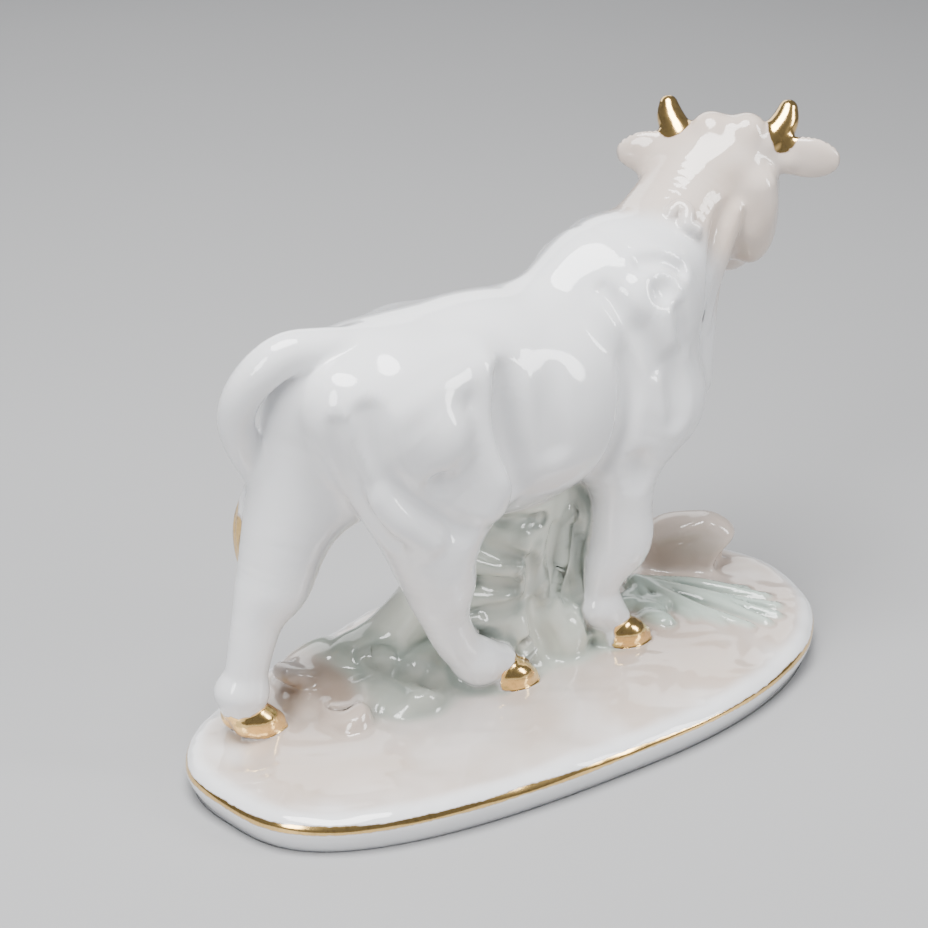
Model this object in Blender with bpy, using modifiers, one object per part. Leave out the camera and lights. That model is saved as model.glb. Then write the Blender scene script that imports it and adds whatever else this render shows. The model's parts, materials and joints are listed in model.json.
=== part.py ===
"""Porcelain bull standing on a rocky oval plinth, one glazed casting.

The clay is built up as a modeller would: lumps and tapered limbs are pressed
together, the rough result is remeshed to one skin, and the skin is settled
onto the smoothly blended shape.  Bull and head are drawn in parts, a part
being a 120th of the bull's height at the withers.  Metres, +Z up, the bull
walks along +X, its right side is -Y.
"""
import math
from concurrent.futures import ThreadPoolExecutor

import bmesh
import bpy
import numpy as np
from mathutils import Euler, Matrix, Vector

NODE = "bull_figurine"

# Plinth, metres
PLINTH_LENGTH = 0.194
PLINTH_WIDTH = 0.1035
PLINTH_FRONT_SQUARENESS = 2.1
PLINTH_BACK_SQUARENESS = 2.9
PLINTH_EGG = 0.20
RIM_HEIGHT = 0.0072
RIM_TUCK = 0.0031
PLINTH_TOP = 0.0095
TOP_SWELL = 0.0020

# Bull, metres and degrees
BULL_HEIGHT = 0.1165
BULL_X = -0.0015
BULL_Y = 0.0024
BULL_TURN = -4.5
HEAD_TURN = 44.0
HEAD_PITCH = 48.0

# Rocks behind the hind legs: chips strewn without order, and the strides that strew them
ROCK_CHIPS = 26
STRIDE_ALONG = 0.618
STRIDE_ACROSS = 0.755

# Tree trunk and leaves
BACK_ROLLS = 6
BLADES = 9

# Field, metres: reach of a form's influence, value beyond it, size of a neighbourhood;
# then steps between a roll's given points, and how many neighbourhoods are worked at once
HEED = 0.008
FAR = 0.05
PARCEL = 0.040
CURVE_STEPS = 5
THREADS = 4

# Thickness under which a form is slight, parts
SLIGHT = 3.8

# Skin
VOXEL = 0.0016
TRIANGLES = 9000

PART = BULL_HEIGHT / 120.0


def smooth_min(a, b, k):
    """Blend two distances over a fillet of size k."""
    h = np.maximum(k - np.abs(a - b), 0.0)
    return np.minimum(a, b) - h * h / (4.0 * k)


def smooth_max(a, b, k):
    return -smooth_min(-a, -b, k)


class Lump:
    """An ellipsoid of clay; a power above 2 makes it boxier."""

    def __init__(self, centre, radii, turn, blend, power, cut):
        self.radii = np.array(radii, float)
        rotation = Euler([math.radians(t) for t in turn]).to_matrix().to_4x4()
        self.frame = Matrix.Translation(Vector(centre)) @ rotation
        self.blend = blend
        self.power = power
        self.cut = cut

    def placed(self, frame, unit):
        """Move into world metres."""
        place, spin, _ = (frame @ self.frame).decompose()
        self.centre = np.array(place)
        self.spin = np.array(spin.to_matrix())
        self.radii = self.radii * unit
        self.blend = self.blend * unit
        reach = self.radii.max() * 3 ** (0.5 - 1 / self.power)
        self.low = self.centre - reach
        self.high = self.centre + reach

    def distance(self, points):
        local = (points - self.centre) @ self.spin
        share = np.abs(local / self.radii) + 1e-9
        n = self.power
        rho = (share ** n).sum(axis=1) ** (1 / n)
        slope = rho ** (1 - n) * np.linalg.norm(share ** (n - 1) / self.radii, axis=1)
        return (rho - 1) / slope

    def rough(self, bm):
        size = Matrix.Diagonal((*self.radii, 1.0))
        where = Matrix.Translation(Vector(self.centre)) @ Matrix(self.spin).to_4x4() @ size
        bmesh.ops.create_icosphere(bm, subdivisions=3, radius=1.0, matrix=where)


def smooth_curve(points, steps):
    """Points and radii along a smooth curve through the given ones."""
    knots = np.array(points, float)
    knots = np.vstack([2 * knots[0] - knots[1], knots, 2 * knots[-1] - knots[-2]])
    curve = [knots[1]]
    for p0, p1, p2, p3 in zip(knots, knots[1:], knots[2:], knots[3:]):
        for i in range(1, steps + 1):
            t = i / steps
            curve.append(0.5 * (2 * p1 + (p2 - p0) * t + (2 * p0 - 5 * p1 + 4 * p2 - p3) * t ** 2
                                + (3 * p1 - p0 - 3 * p2 + p3) * t ** 3))
    return np.array(curve)


class Limb:
    """A tapered roll of clay along a smooth curve; flat below 1 presses it thin sideways."""

    def __init__(self, points, blend, flat, cut):
        self.curve = smooth_curve(points, CURVE_STEPS)
        self.blend = blend
        self.flat = flat
        self.cut = cut

    def placed(self, frame, unit):
        self.path = np.array([frame @ Vector(p[:3]) for p in self.curve])
        self.thick = self.curve[:, 3] * unit
        self.blend = self.blend * unit
        side = frame.to_3x3() @ Vector((0, 1, 0))
        self.side = np.array(side.normalized())
        self.low = self.path.min(axis=0) - self.thick.max()
        self.high = self.path.max(axis=0) + self.thick.max()

    def distance(self, points):
        axis = np.diff(self.path, axis=0)
        away = points[:, None] - self.path[:-1]
        share = np.einsum("nsk,sk->ns", away, axis) / (axis ** 2).sum(axis=1)
        share = np.clip(share, 0.0, 1.0)
        away -= share[..., None] * axis
        if self.flat != 1.0:
            across = away @ self.side
            away += across[..., None] * ((1.0 / self.flat - 1.0) * self.side)
        rolls = np.linalg.norm(away, axis=2) - (self.thick[:-1] + share * np.diff(self.thick))
        return rolls.min(axis=1) * min(1.0, self.flat)

    def rough(self, bm):
        path = self.path[::CURVE_STEPS]
        thick = self.thick[::CURVE_STEPS]
        for a, b, ra, rb in zip(path, path[1:], thick, thick[1:]):
            bmesh.ops.create_icosphere(bm, subdivisions=2, radius=ra,
                                       matrix=Matrix.Translation(Vector(a)))
            axis = Vector(b - a)
            turn = axis.to_track_quat("Z", "Y").to_matrix().to_4x4()
            where = Matrix.Translation(Vector((a + b) / 2)) @ turn
            bmesh.ops.create_cone(bm, cap_ends=True, segments=12, radius1=ra, radius2=rb,
                                  depth=axis.length, matrix=where)
        bmesh.ops.create_icosphere(bm, subdivisions=2, radius=thick[-1],
                                   matrix=Matrix.Translation(Vector(path[-1])))


class Clay:
    """A group of forms drawn in one frame, blended in the order they were added.

    Shallow forms, if slight, only shape the settled skin and are left out of the rough one.
    """

    def __init__(self, frame, unit):
        self.frame = frame
        self.unit = unit
        self.forms = []
        self.shallow = False

    def add(self, form):
        form.placed(self.frame, self.unit)
        form.shallow = self.shallow and (form.high - form.low).min() < 2 * SLIGHT * self.unit
        self.forms.append(form)

    def lump(self, centre, radii, turn=(0, 0, 0), blend=6.0, power=2.0, cut=False):
        self.add(Lump(centre, radii, turn, blend, power, cut))

    def pair(self, centre, radii, turn=(0, 0, 0), blend=6.0, power=2.0, cut=False):
        """The same lump on the right and on the left."""
        x, y, z = centre
        roll, pitch, yaw = turn
        self.lump((x, y, z), radii, (roll, pitch, yaw), blend, power, cut)
        self.lump((x, -y, z), radii, (-roll, pitch, -yaw), blend, power, cut)

    def limb(self, points, blend=4.0, flat=1.0, cut=False):
        """A roll through (x, y, z, radius) points."""
        self.add(Limb(points, blend, flat, cut))

    def field(self, points):
        d = np.full(len(points), FAR)
        low = points.min(axis=0)
        high = points.max(axis=0)
        for form in self.forms:
            margin = form.blend + HEED
            if (form.low - margin > high).any() or (form.high + margin < low).any():
                continue
            near = ((points > form.low - margin) & (points < form.high + margin)).all(axis=1)
            if not near.any():
                continue
            own = form.distance(points[near])
            if form.cut:
                d[near] = smooth_max(d[near], -own, form.blend)
            else:
                d[near] = smooth_min(d[near], own, form.blend)
        return d

    def rough(self, bm):
        for form in self.forms:
            if not form.cut and not form.shallow:
                form.rough(bm)


def bull_frame():
    ground = PLINTH_TOP + 0.3 * TOP_SWELL
    turn = Matrix.Rotation(math.radians(BULL_TURN), 4, "Z")
    size = Matrix.Diagonal((PART, PART, PART, 1.0))
    return Matrix.Translation((BULL_X, BULL_Y, ground)) @ turn @ size


def trunk(clay):
    clay.lump((0, 0, 76), (40, 24, 29.5), blend=8)
    clay.lump((-26, 0, 88), (30, 18, 18), blend=14)
    clay.lump((-44, 0, 89), (21, 18, 16), blend=12)
    clay.pair((-25, -15, 96), (8, 5, 6), blend=8)
    clay.pair((-59, -8, 93), (5.5, 6, 8), blend=7)
    clay.lump((38, 0, 78), (22, 18.5, 27), blend=12)
    clay.lump((31, 0, 98), (20, 9.5, 17), (0, -8, 0), blend=14)
    clay.pair((33, -14, 85), (9.5, 9, 26), (0, 16, 0), blend=6)
    clay.pair((44, -12.5, 68), (12.5, 9, 13), blend=7)
    clay.lump((47, 0, 70), (13, 12, 15), blend=9)
    clay.limb([(70, 1.5, 101, 5.5), (66.4, 0.4, 89, 7), (62.2, -1.4, 77, 8.2), (60.2, -3, 69, 8.4)],
               blend=7, flat=0.85)


def muscles(clay):
    """Ridges and hollows that show through the hide."""
    clay.shallow = True
    right_haunch(clay)
    left_haunch(clay)
    for s in (-1, 1):
        barrel(clay, s)
        shoulder(clay, s)
    clay.lump((34.9, -22.5, 105), (2.9, 2.9, 3.4), blend=3.5, cut=True)
    clay.limb([(39.6, -24.2, 98, 2), (41.2, -24.4, 93, 2.7), (42.8, -23.8, 88, 2.2)],
               blend=3.5, cut=True)
    clay.limb([(36.4, -25.7, 85, 2.8), (37.8, -26.3, 77.6, 3.3), (38, -27, 70, 3)], blend=4, cut=True)
    clay.shallow = False


def right_haunch(clay):
    clay.limb([(-48.5, -18.4, 90.6, 3.5), (-42, -19.4, 92.4, 4), (-33, -19, 94.4, 4),
               (-24, -18.2, 95.8, 3.6)], blend=3)
    clay.limb([(-23.6, -18.4, 96, 3.6), (-24.6, -19.6, 92, 4), (-25.9, -20.4, 86, 4.2),
               (-26.3, -21.4, 79.5, 4.8), (-24, -22.2, 72.5, 5.4), (-22.4, -22.6, 67.5, 5.8),
               (-23.4, -22, 62, 5)], blend=3.5)
    clay.limb([(-17.6, -23.4, 94, 3.5), (-17.2, -24.2, 85.4, 4.8), (-16, -24.6, 77, 5.4),
               (-14, -24.8, 70, 5.4), (-13, -24, 63, 4)], blend=4, cut=True)
    clay.lump((-38, -22, 83), (7, 6, 8), blend=5)
    clay.lump((-39.2, -24.4, 71.2), (2.6, 2.6, 3), blend=3.5, cut=True)
    clay.limb([(-58, -20.6, 93, 3.4), (-57, -21.6, 85, 3.6), (-54.2, -22.4, 77, 3.2),
               (-47.3, -22.6, 68.4, 3.2), (-42, -22.6, 63, 3.4), (-36.5, -23.3, 58.6, 3.2),
               (-31.3, -24.4, 56, 2.5)], blend=3.5, cut=True)
    clay.limb([(-53, -15.4, 69, 4), (-47.6, -17.8, 62.4, 4.5), (-40.3, -19.2, 55.8, 4)], blend=3.5)
    clay.limb([(-64.6, -15.6, 90, 2), (-64, -15.5, 84, 2.4), (-61, -14.6, 76, 2.8),
               (-56, -14.2, 64.6, 2.8), (-50, -17, 55.5, 2.2)], blend=3, cut=True)


def left_haunch(clay):
    clay.limb([(-48.5, 18, 90, 3.5), (-40, 19, 92.4, 4), (-30, 18.6, 94.6, 3.8)], blend=4)
    clay.limb([(-29, 18, 95, 3.6), (-32, 19, 86, 4.4), (-38, 18, 76, 5.4), (-46, 16.5, 66, 6)], blend=5)
    clay.limb([(-20, 24.4, 93, 3.6), (-23.5, 25, 83, 4.4), (-29, 24, 73, 4.6), (-36, 22, 64, 4)],
               blend=5, cut=True)
    clay.lump((-46, 17, 80), (8, 6, 10), (0, 20, 0), blend=5)


def barrel(clay, s):
    clay.lump((7, s * 12.5, 76), (16, 10.5, 18), blend=8)
    clay.limb([(-4, s * 26.5, 92, 3), (-5, s * 27, 82, 3.5), (-3.5, s * 26.5, 72, 3)],
               blend=5, cut=True)
    clay.limb([(23, s * 21.4, 96, 1.8), (23.2, s * 22.2, 87, 2.6), (23, s * 22.6, 79, 2.8),
               (22, s * 22.6, 71, 2.8), (20.6, s * 21, 63, 2.6), (17.5, s * 18, 55, 2.6)],
               blend=3, cut=True)


def shoulder(clay, s):
    clay.lump((21, s * 12, 95.5), (5, 5.5, 8), (0, 15, 0), blend=5)
    clay.limb([(20.6, s * 15, 106, 1.6), (23.1, s * 18.8, 101.6, 2.4), (25.9, s * 22, 97, 2.9),
               (28.4, s * 24, 91.5, 2.9), (31.4, s * 24.9, 85, 2.4)], blend=3, cut=True)
    clay.lump((29, s * 16.4, 101), (4, 4, 6), (0, 15, 0), blend=3)
    clay.limb([(32, s * 16.4, 111.5, 1.8), (38, s * 18.4, 111, 2.1), (42.5, s * 19.5, 108, 1.8)],
               blend=3, cut=True)
    clay.lump((27.5, s * 22.6, 55.5), (3, 3, 5), blend=4, cut=True)


def neck(clay):
    clay.limb([(37, 0, 95, 21.5), (50, 1, 102, 17), (61, 3.5, 110, 14.8), (70, 6, 118, 13.2)], blend=10)
    clay.limb([(50.4, -6.6, 118.3, 1.9), (52.8, -7, 119.5, 2.2), (53.4, -9.2, 118.3, 2.2),
               (52, -10.8, 116, 2.1), (54, -12, 114.4, 2)], blend=1.6)


def throat(clay):
    """Loose skin in long folds from the jaw down the front of the neck."""
    clay.limb([(70.1, -8.8, 114.5, 2.4), (67.8, -9, 109, 2.9), (65.5, -9.1, 103.8, 3.1),
               (64.1, -8.3, 97.9, 2.9), (64, -6.2, 90.9, 2.7), (63, -5.6, 83.5, 2.4)], blend=2)
    clay.limb([(70.5, -10.6, 119.5, 1.6), (67.2, -10.8, 116.6, 2), (63.4, -12, 112.5, 2.2),
               (60.4, -13.6, 107, 2.2), (58.6, -14.8, 101, 2.1), (57.8, -14.6, 95, 1.9),
               (57, -14, 88, 1.6)], blend=2.5, cut=True)
    clay.limb([(73.2, -11.2, 114.5, 1.8), (73.4, -9.6, 109.5, 2), (72, -8, 103.5, 1.8)],
               blend=2.5, cut=True)
    clay.limb([(72.4, -9.2, 128, 2.2), (71.9, -10.2, 123.5, 2.5), (72.6, -10.2, 119.5, 1.8)],
               blend=3, cut=True)
    clay.limb([(78.8, -10, 120, 3), (79.6, -9.8, 113.5, 3.2), (77.5, -8.6, 108.5, 2.8)], blend=2.5)
    clay.lump((80.8, -5.2, 105.5), (5.5, 5.5, 8), blend=4)


def hind_leg(clay, side, hip, path, hoof):
    """Thigh, buttock, then the lower leg along its path of (x, y, z, radius)."""
    pin = (-56, side * 9, 90)
    calf = path[2]
    clay.limb([(*hip, 17), path[0]], blend=8)
    clay.limb([(*pin, 7.8), ((pin[0] + calf[0]) / 2 - 1, calf[1], (pin[2] + calf[2]) / 2, 9.5),
               (*calf[:3], 7)], blend=9)
    clay.limb(path, blend=8, flat=0.9)
    hoof_block(clay, path[-1], hoof)


def fore_leg(clay, path, hoof):
    clay.limb(path, blend=8, flat=0.95)
    hoof_block(clay, path[-1], hoof)


def hoof_block(clay, fetlock, hoof):
    x, y, k = hoof
    fx, fy, fz, _ = fetlock
    clay.lump((fx - 4, fy, fz + 1), (3.4, 4.6, 3.4), blend=3)
    clay.limb([fetlock, (x - 3.5, y, 7.5, 5.2)], blend=3)
    for side in (-1, 1):
        clay.limb([(x - 4 * k, y + side * 2.4 * k, 4.8 * k, 4.4 * k),
                   (x + k, y + side * 2.8 * k, 3.8 * k, 4.6 * k),
                   (x + 4.5 * k, y + side * 2.4 * k, 1.8, 3.8 * k)], blend=0.8)


def tail(clay):
    clay.limb([(-46, 0, 101, 6), (-56, 1, 103, 5.8), (-65, 3, 103.8, 5.5), (-71.3, 5, 100.4, 5.3),
               (-75.2, 8, 94, 4.9), (-75.4, 11, 86.5, 4.7), (-72.3, 13, 78.5, 4.6), (-68, 14, 71, 4.4)],
               blend=2)
    clay.lump((-64.3, 15.5, 52), (5, 4.6, 16), (0, 8, 0), blend=3)


def head(clay):
    clay.lump((9, 0, -9), (12, 12.5, 12), blend=8)
    clay.lump((13, 0, -6), (13, 11, 8), blend=5)
    clay.lump((28, 0, -9), (18, 8, 8.5), blend=8)
    clay.pair((16, -9.5, -5), (6, 3.5, 3.5), blend=4)
    clay.lump((42.5, 0, -11), (7.5, 8.5, 8), blend=6, power=2.3)
    clay.lump((40, 0, -18), (6, 5.5, 4), blend=4)
    clay.pair((17, -8, -16), (12, 6, 9), blend=6)
    clay.limb([(14, 0, -21, 8), (26, 0, -19, 7), (38, 0, -17, 6)], blend=6)
    clay.pair((1, -5, -3.5), (5.5, 5, 5), blend=4)
    clay.pair((17.5, -13.2, -8.5), (3.8, 2.6, 2.8), blend=1.5, cut=True)
    clay.pair((17.5, -11.3, -8.5), (2.7, 2.2, 2.1), blend=0.4)
    clay.pair((48.6, -4.4, -9.4), (2.4, 1.7, 2.1), (0, 20, -20), blend=1, cut=True)
    for side in (-1, 1):
        clay.limb([(13.5, side * 12, -7.4, 1.1), (17, side * 13.2, -5.9, 1.3),
                   (21, side * 12, -7.2, 1.1)], blend=1.2)
        clay.limb([(49.5, side * 1, -15.4, 0.9), (47, side * 6.4, -15.4, 1.1),
                   (41, side * 8.6, -15, 1.1), (34, side * 8.4, -14.4, 0.9)], blend=0.8, cut=True)
        lean = 0.8 - 0.6 * side
        clay.limb([(4, side * 9.5, -5.5, 4.4), (3.5, side * (13.5 - lean), -3, 4.2),
                   (2.5, side * (16 - lean), 1, 3.7), (1, side * (16.8 - lean), 4.2, 2.6)], blend=2)
        clay.limb([(7, side * 12, -8, 3), (7, side * 16, -8, 3)], blend=3)
        clay.lump((6, side * 21, -7.5), (2.4, 9, 5.6), (side * -6, -HEAD_PITCH, 0), blend=2)
        clay.lump((8.5, side * 22, -5.4), (1.5, 6, 3.2), (side * -6, -HEAD_PITCH, 0), blend=1.5, cut=True)


def stump(clay):
    """Trunk, its spreading roots, and the rolls of bark on the side that is looked at."""
    clay.limb([(0, 7, -2, 20), (-1, 7, 13, 17.5), (0, 7, 28, 17), (2, 6, 50, 18)], blend=5)
    clay.limb([(-14, 6, 46, 8), (-19, 5, 33, 6.5), (-21, 9, 20, 7.5), (-28, 15, 8, 8)], blend=5)
    for x, y in ((16, -3), (18, 8), (6, 21), (-12, 22)):
        clay.limb([(x * 0.6, y * 0.6 + 2, 14, 5), (x, y, 5, 5), (x * 1.3, y * 1.3, -1, 4)], blend=4)
    clay.limb([(16, 1, 50, 9.5), (16, 1, 34, 9), (17, 1, 20, 9), (18, 0, 4, 9)], blend=4)
    clay.limb([(25, -4, 46, 4.5), (23.5, -6, 34, 4), (23, -7, 22, 3.8), (24, -9, 10, 3.6),
               (27, -11, 0, 3)], blend=3)
    bark(clay)


def bark(clay):
    """Rolls and creases of the bark: lying ones on the left, upright ones to the right."""
    clay.shallow = True
    for path in ([(-19, -4, 37.5, 3), (-12, -5.4, 35, 3.4), (-8, -6.6, 33, 3.4), (-4, -8, 33.5, 2.8)],
                 [(-19, -4, 26, 3), (-11, -5, 25.4, 3.2), (-6.5, -6.6, 24.6, 3), (-3.6, -7.5, 24.3, 2.6)],
                 [(-18, -5, 19.6, 2.6), (-10, -6, 18.4, 3), (-3.3, -8, 17.7, 2.6)],
                 [(-0.8, -9.4, 44.3, 2.4), (-2.2, -9.6, 37, 2.6), (-1.8, -9.8, 30.2, 2.6),
                  (-2.6, -9.8, 22.3, 2.2)],
                 [(3, -9.6, 36.8, 2.2), (5, -9.2, 29.1, 2.6), (5.4, -9.2, 21.6, 3)],
                 [(15.5, -8, 42, 2.6), (14, -8.8, 34, 2.6), (12.2, -9, 26, 2.6), (9, -8.6, 18, 2.4)],
                 [(18.8, -8, 34, 1.9), (17.4, -8.6, 27, 2.1), (19.5, -9.2, 17, 2.4)],
                 [(-2.6, -9.4, 15.2, 2.8), (-1.2, -10.8, 7.8, 3.2)]):
        clay.limb(path, blend=2)
    clay.lump((20.8, -6.4, 40), (3.6, 3.4, 5), (0, 10, 0), blend=2)
    clay.lump((9, -8.4, 14), (4, 4, 5), (0, 20, 0), blend=2.5)
    clay.lump((14, -7.5, 6), (8, 7, 10), blend=3)
    for path in ([(-18, -9, 42, 1.8), (-10.5, -9.2, 38.8, 2.4), (-4.1, -11.2, 36, 2)],
                 [(-19, -9, 31.5, 1.8), (-10.4, -8.8, 28.9, 2.4), (-4.7, -10.2, 27, 1.9)],
                 [(-11.5, -9.2, 21.4, 1.7), (-7, -10.2, 21.2, 2), (-3.8, -11, 22.3, 1.8)],
                 [(-8, -8.8, 47, 1.8), (-3.7, -11.6, 46, 2), (3.8, -11, 44.9, 1.8)],
                 [(-0.2, -11.6, 34.3, 1.5), (0.6, -11.6, 28.1, 2), (-0.6, -11.6, 22.6, 1.6)],
                 [(9.8, -10.2, 40, 1.7), (8.4, -11, 32.5, 2.2), (9, -11, 24, 2.1), (6.6, -11.4, 18, 1.8)],
                 [(2.7, -11, 20.6, 2), (2.9, -12.4, 13.4, 2.8), (6, -13, 6.5, 2.8),
                  (7.7, -14.6, 1.2, 2.2)],
                 [(-1.8, -12, 10.5, 1.8), (1.4, -14, 4.1, 2)],
                 [(17.2, -10, 38, 1.5), (15.8, -11, 29, 1.8), (14.5, -11, 19.5, 1.6)],
                 [(22, -11, 32, 2), (21.4, -11.4, 20, 2.5), (21, -12.6, 9, 2.2)]):
        clay.limb(path, blend=2, cut=True)
    for i in range(BACK_ROLLS):
        turn = math.radians(20 + 28 * i)
        x, y = math.cos(turn), math.sin(turn)
        sway = 1.5 * math.sin(2.3 * i)
        clay.limb([(16 * x, 7 + 16 * y, 46, 3), (16 * x + sway, 7 + 16 * y, 30, 2.6),
                   (16.5 * x - sway, 7 + 16.5 * y, 15, 3), (19 * x, 7 + 19 * y, -1, 3.6)], blend=2.5)
    clay.shallow = False


def ground_rocks(clay):
    clay.lump((78.5, 13, 5), (13, 6.5, 11.3), (0, -8, -45), blend=4, power=2.6)
    clay.lump((84, 8, 8.5), (6.5, 5.5, 6.8), (0, 20, -45), blend=3, power=2.6)
    clay.limb([(70, 15, 9, 2.4), (75, 10, 12.5, 2.4), (80, 7.5, 14, 2.2)], blend=2)
    clay.lump((84.5, 1.5, 4.5), (6, 3, 3.4), (0, 0, -45), blend=3, cut=True)
    clay.lump((-44, 20, 1), (14, 12, 8.6), (0, 0, 20), blend=4, power=2.6)
    clay.lump((-33, 14, 4), (12, 10, 8.5), (0, 15, 0), blend=4, power=2.6)
    clay.lump((-42, 4, 0), (15, 9, 6.6), (0, 0, -12), blend=4, power=2.6)
    clay.lump((-30, -2, 1), (13, 8, 5.6), (0, -8, 10), blend=4, power=2.6)
    clay.lump((-19, -3, 1), (9, 7, 5.2), blend=4, power=2.6)
    clay.lump((-54, 12, 0), (8, 9, 4.2), blend=3, power=2.5)
    for i in range(ROCK_CHIPS):
        along = (i * STRIDE_ALONG) % 1.0
        across = (i * STRIDE_ACROSS) % 1.0
        x = -56 + 42 * along
        y = 17 - 24 * across - 6 * along
        rise = 7.5 - 6 * across
        clay.lump((x, y, rise), (4.6, 3.6, 2.4), (40 * math.sin(3 * i), 30 * math.cos(5 * i), 50 * i),
                  blend=1.8, power=3)
    for x, y, z in ((-47, 11, 9), (-38, 6, 9), (-33, -4, 8), (-44, -3, 7), (-26, -9, 7), (-52, 4, 6)):
        clay.lump((x, y, z), (3.4, 2.4, 2.6), (0, 20, 9 * x), blend=2, cut=True)


def leaves(clay):
    """A tuft of long blades fanned over the ground, and round leaves at its foot."""
    for i in range(BLADES):
        turn = math.radians(-36 - 7.5 * i)
        length = 41 - 1.1 * (i - 3) ** 2
        bend = 2.5 * math.sin(i * 2.1)
        x, y = math.cos(turn), math.sin(turn)
        clay.limb([(55, 8, 3, 2.2),
                   (55 + 0.5 * length * x - bend * y, 8 + 0.5 * length * y + bend * x, 2.2, 1.9),
                   (55 + length * x, 8 + length * y, 0.4, 0.9)], blend=0.8)
    for x, y, turn in ((49, -4, -60), (47, -10, -75), (53, -3, -50), (46, 1, -20), (50, 4, 20)):
        clay.lump((x, y, 2), (4.8, 2.8, 2), (0, 0, turn), blend=0.8)


def squareness(x):
    """Power of the plinth's rounded outline, ahead of and behind its middle."""
    return np.where(x > 0, PLINTH_FRONT_SQUARENESS, PLINTH_BACK_SQUARENESS)


def plinth_outline(x, y):
    """Distance outside the plinth's widest line, and how far out along it a point lies."""
    a = PLINTH_LENGTH / 2
    b = PLINTH_WIDTH / 2 * (1 + PLINTH_EGG * np.clip(x / a, -1, 1))
    n = squareness(x)
    u = np.abs(x / a) + 1e-6
    v = np.abs(y / b) + 1e-6
    rho = (u ** n + v ** n) ** (1 / n)
    slope = rho ** (1 - n) * np.hypot(u ** (n - 1) / a, v ** (n - 1) / b)
    return (rho - 1) / slope, rho


def plinth_field(points):
    x, y, z = points.T
    outline, rho = plinth_outline(x, y)
    below = np.clip((RIM_HEIGHT - z) / RIM_HEIGHT, 0, 1.4)
    side = outline + RIM_TUCK * below ** 1.5
    top = PLINTH_TOP + TOP_SWELL * (1 - np.minimum(rho, 1) ** 2)
    top = top + 0.0005 * np.sin(x * 210) * np.cos(y * 170 + 1)
    return smooth_max(side, z - top, 0.006)


def rough_plinth(bm):
    made = bmesh.ops.create_cone(bm, cap_ends=True, segments=96, radius1=1, radius2=1,
                                 depth=PLINTH_TOP + 0.004)
    for vert in made["verts"]:
        c, s = vert.co.x, vert.co.y
        n = float(squareness(c))
        r = (abs(c) ** n + abs(s) ** n) ** (-1 / n)
        vert.co.x = c * r * PLINTH_LENGTH / 2
        vert.co.y = s * r * PLINTH_WIDTH / 2 * (1 + PLINTH_EGG * c * r)
        vert.co.z += (PLINTH_TOP - 0.004) / 2


def model():
    frame = bull_frame()
    bull = Clay(frame, PART)
    trunk(bull)
    neck(bull)
    hind_leg(bull, -1, (-41, -8, 86),
             [(-24, -13, 65, 10.5), (-31, -12.5, 50, 10.2), (-30.5, -11.5, 38, 8), (-29, -11.5, 28, 6.6),
              (-24, -11, 17.5, 5.8), (-17, -11, 10, 5.8)], (-8, -11, 1.0))
    hind_leg(bull, 1, (-46, 7, 84),
             [(-47, 9, 66, 11), (-59.4, 8.8, 56, 10.3), (-67, 9, 41.5, 8.5), (-71, 9.2, 35, 7.2),
              (-73.2, 9.4, 29, 6.5), (-75.8, 9.6, 19, 5.7), (-76.8, 10.2, 12, 6)], (-75, 10.5, 1.2))
    fore_leg(bull, [(37, -13, 70, 12), (31, -13, 55, 9.6), (30.3, -12.5, 43, 8.4), (30.5, -12, 32, 8.8),
                    (26.5, -11.5, 24.5, 6.2), (25.2, -11, 18, 4.9), (26, -11, 12, 5)], (31.5, -11.5, 1.0))
    fore_leg(bull, [(36, 13, 70, 12), (29, 13, 55, 9.6), (27.5, 12, 43, 8.4), (27, 11.5, 32, 8.4),
                    (23, 11, 23, 6), (22.3, 10.5, 16, 4.9), (23.5, 10, 11, 5)], (28.5, 10, 1.0))
    tail(bull)
    muscles(bull)
    throat(bull)
    turn = Euler((0, math.radians(HEAD_PITCH), math.radians(HEAD_TURN))).to_matrix().to_4x4()
    skull = Clay(frame @ Matrix.Translation((79.5, 3.2, 136)) @ turn, PART)
    head(skull)
    rocks = Clay(frame, PART)
    stump(rocks)
    ground_rocks(rocks)
    leaves(rocks)
    return bull, skull, rocks


def field(points, groups):
    bull, skull, rocks = groups
    animal = smooth_min(bull.field(points), skull.field(points), 6 * PART)
    ground = smooth_min(plinth_field(points), rocks.field(points), 0.003)
    return smooth_min(animal, ground, 0.001)


def by_parcels(function, points):
    """Apply a function to points a neighbourhood at a time, so that far-off forms are passed over."""
    cells = np.floor(points / PARCEL).astype(int)
    names = cells @ np.array([1, 1000, 1000000])
    order = np.argsort(names, kind="stable")
    parcels = np.split(order, np.nonzero(np.diff(names[order]))[0] + 1)
    with ThreadPoolExecutor(THREADS) as pool:
        done = list(pool.map(lambda parcel: function(points[parcel]), parcels))
    result = np.empty((len(points),) + done[0].shape[1:])
    result[np.concatenate(parcels)] = np.concatenate(done)
    return result


def settle(points, groups, voxel):
    """Move the rough skin's points onto the blended shape, down to just below the table."""
    h = voxel * 0.3
    low = points[:, 2] < -0.002
    for _ in range(5):
        d = field(points, groups)
        slope = np.empty_like(points)
        for axis in range(3):
            shift = np.zeros(3)
            shift[axis] = h
            slope[:, axis] = field(points + shift, groups) - d
        slope /= np.linalg.norm(slope, axis=1)[:, None] + 1e-12
        step = np.clip(d, -voxel, voxel)
        step[low] = 0.0
        points = points - step[:, None] * slope
    return points


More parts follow.
